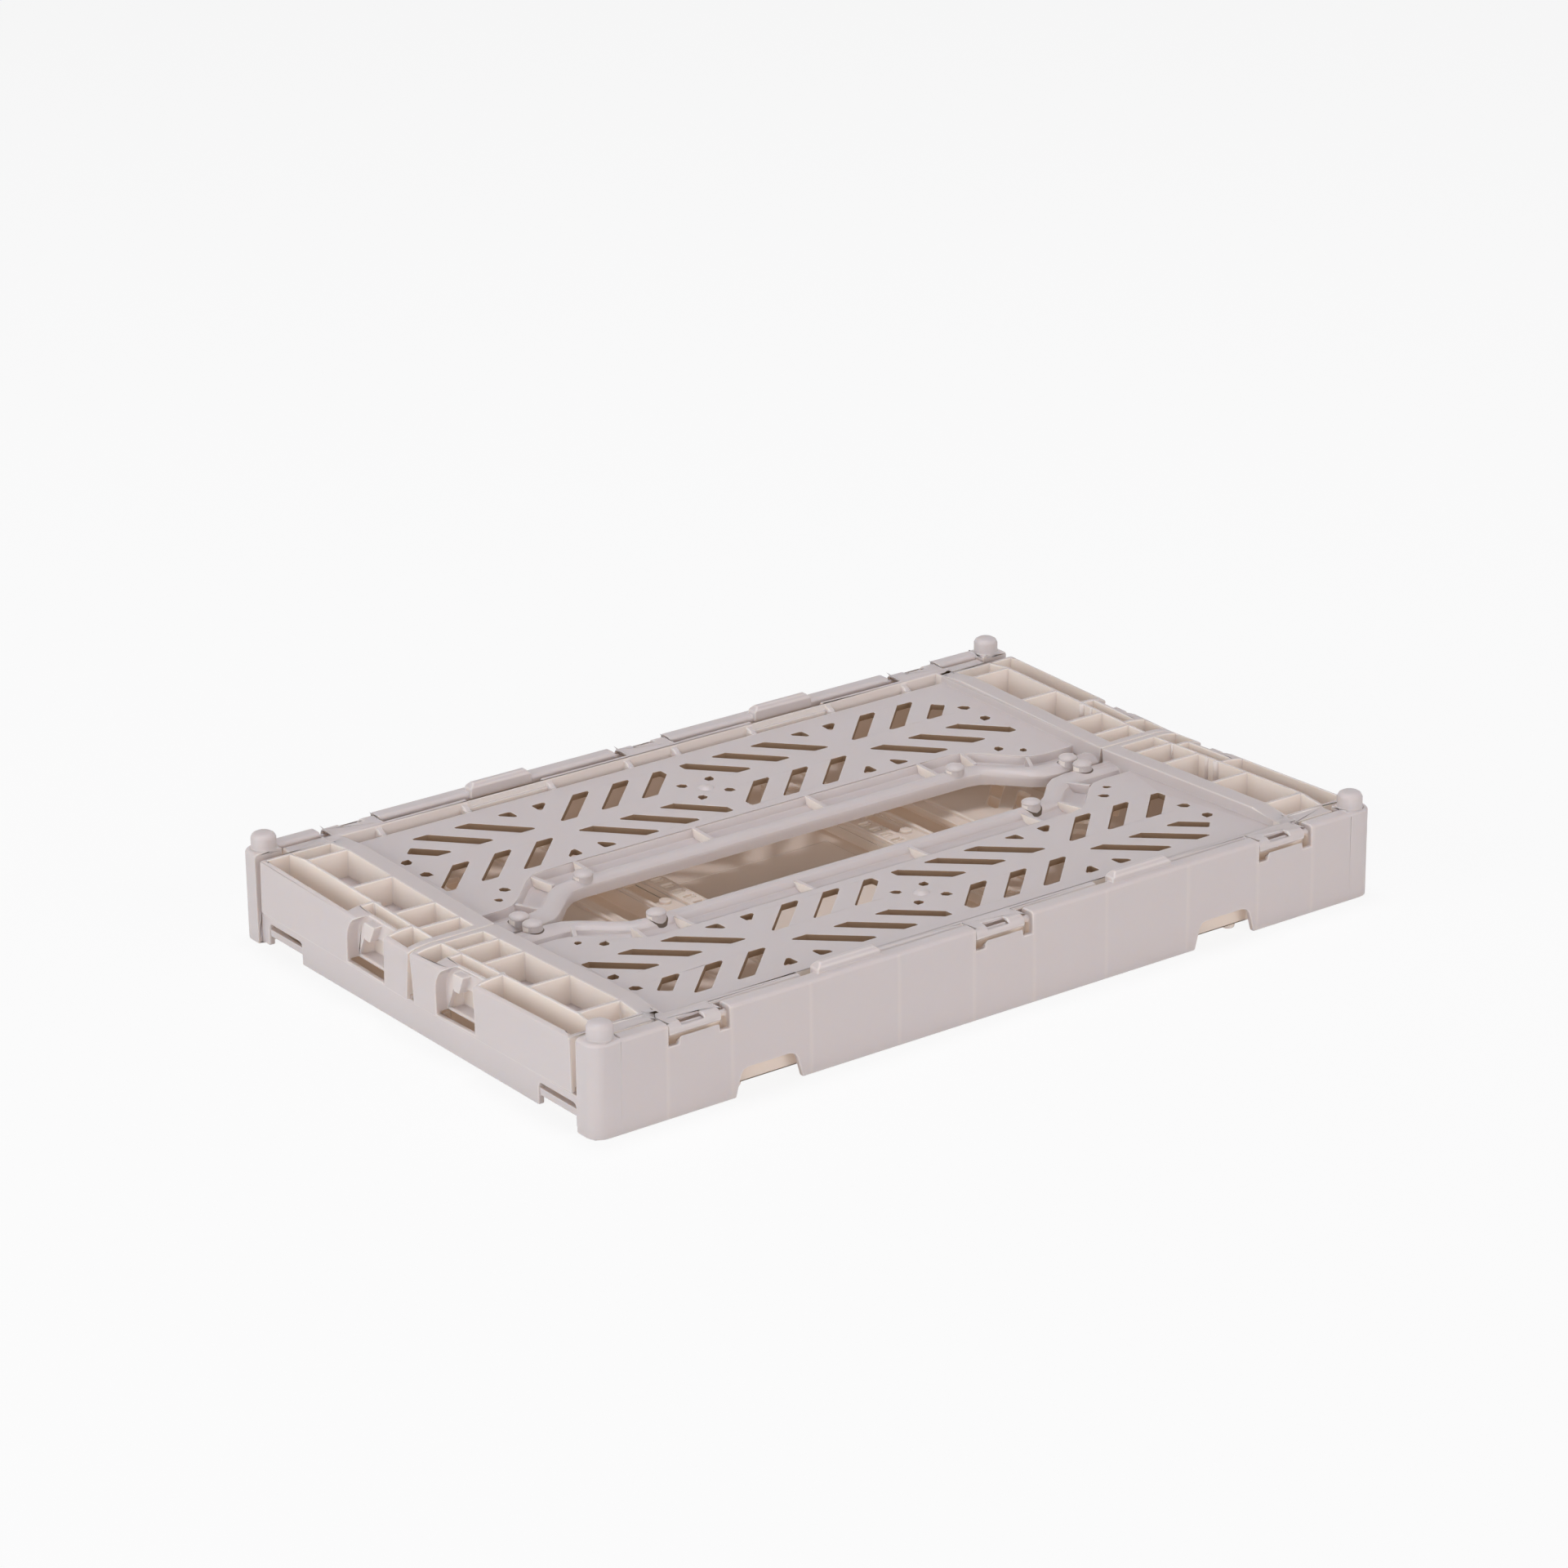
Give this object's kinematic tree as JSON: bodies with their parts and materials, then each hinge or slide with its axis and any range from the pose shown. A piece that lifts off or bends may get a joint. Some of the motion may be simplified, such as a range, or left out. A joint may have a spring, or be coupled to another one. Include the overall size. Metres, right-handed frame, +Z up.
{
  "type": "folding plastic crate",
  "caption": "Small folding plastic crate lying folded flat, with slotted side panels, a carrying rail round a middle opening, hinged ends and stacking pegs.",
  "frame": {"origin": "middle of the ground under the base tray, at the bottom centre of the folded crate", "axes": "+X along the long side, +Y towards the rear long side, +Z up"},
  "size_m": [0.266, 0.171, 0.031],
  "materials": {
    "tray_plastic": "satin moulded polypropylene, warm pale greige",
    "side_plastic": "satin moulded polypropylene, warm pale greige",
    "end_plastic": "satin moulded polypropylene, warm pale greige"
  },
  "bodies": {
    "tray": {"base_tray": "tray_plastic"},
    "front_side": {"side_panel_front": "side_plastic"},
    "rear_side": {"side_panel_rear": "side_plastic"},
    "left_end": {"end_panel_left": "end_plastic"},
    "right_end": {"end_panel_right": "end_plastic"}
  },
  "joints": [
    {"name": "front_side_hinge", "type": "hinge", "parent": "tray", "child": "front_side", "pos_m": [0, -0.083, 0.0239], "axis": [1, 0, 0], "range_deg": [0, 91.74]},
    {"name": "rear_side_hinge", "type": "hinge", "parent": "tray", "child": "rear_side", "pos_m": [0, 0.083, 0.0239], "axis": [-1, 0, 0], "range_deg": [0, 91.74]},
    {"name": "left_end_hinge", "type": "hinge", "parent": "tray", "child": "left_end", "pos_m": [-0.127, 0, 0.0069], "axis": [0, -1, 0], "range_deg": [0, 3]},
    {"name": "right_end_hinge", "type": "hinge", "parent": "tray", "child": "right_end", "pos_m": [0.127, 0, 0.0069], "axis": [0, 1, 0], "range_deg": [0, 3]}
  ]
}
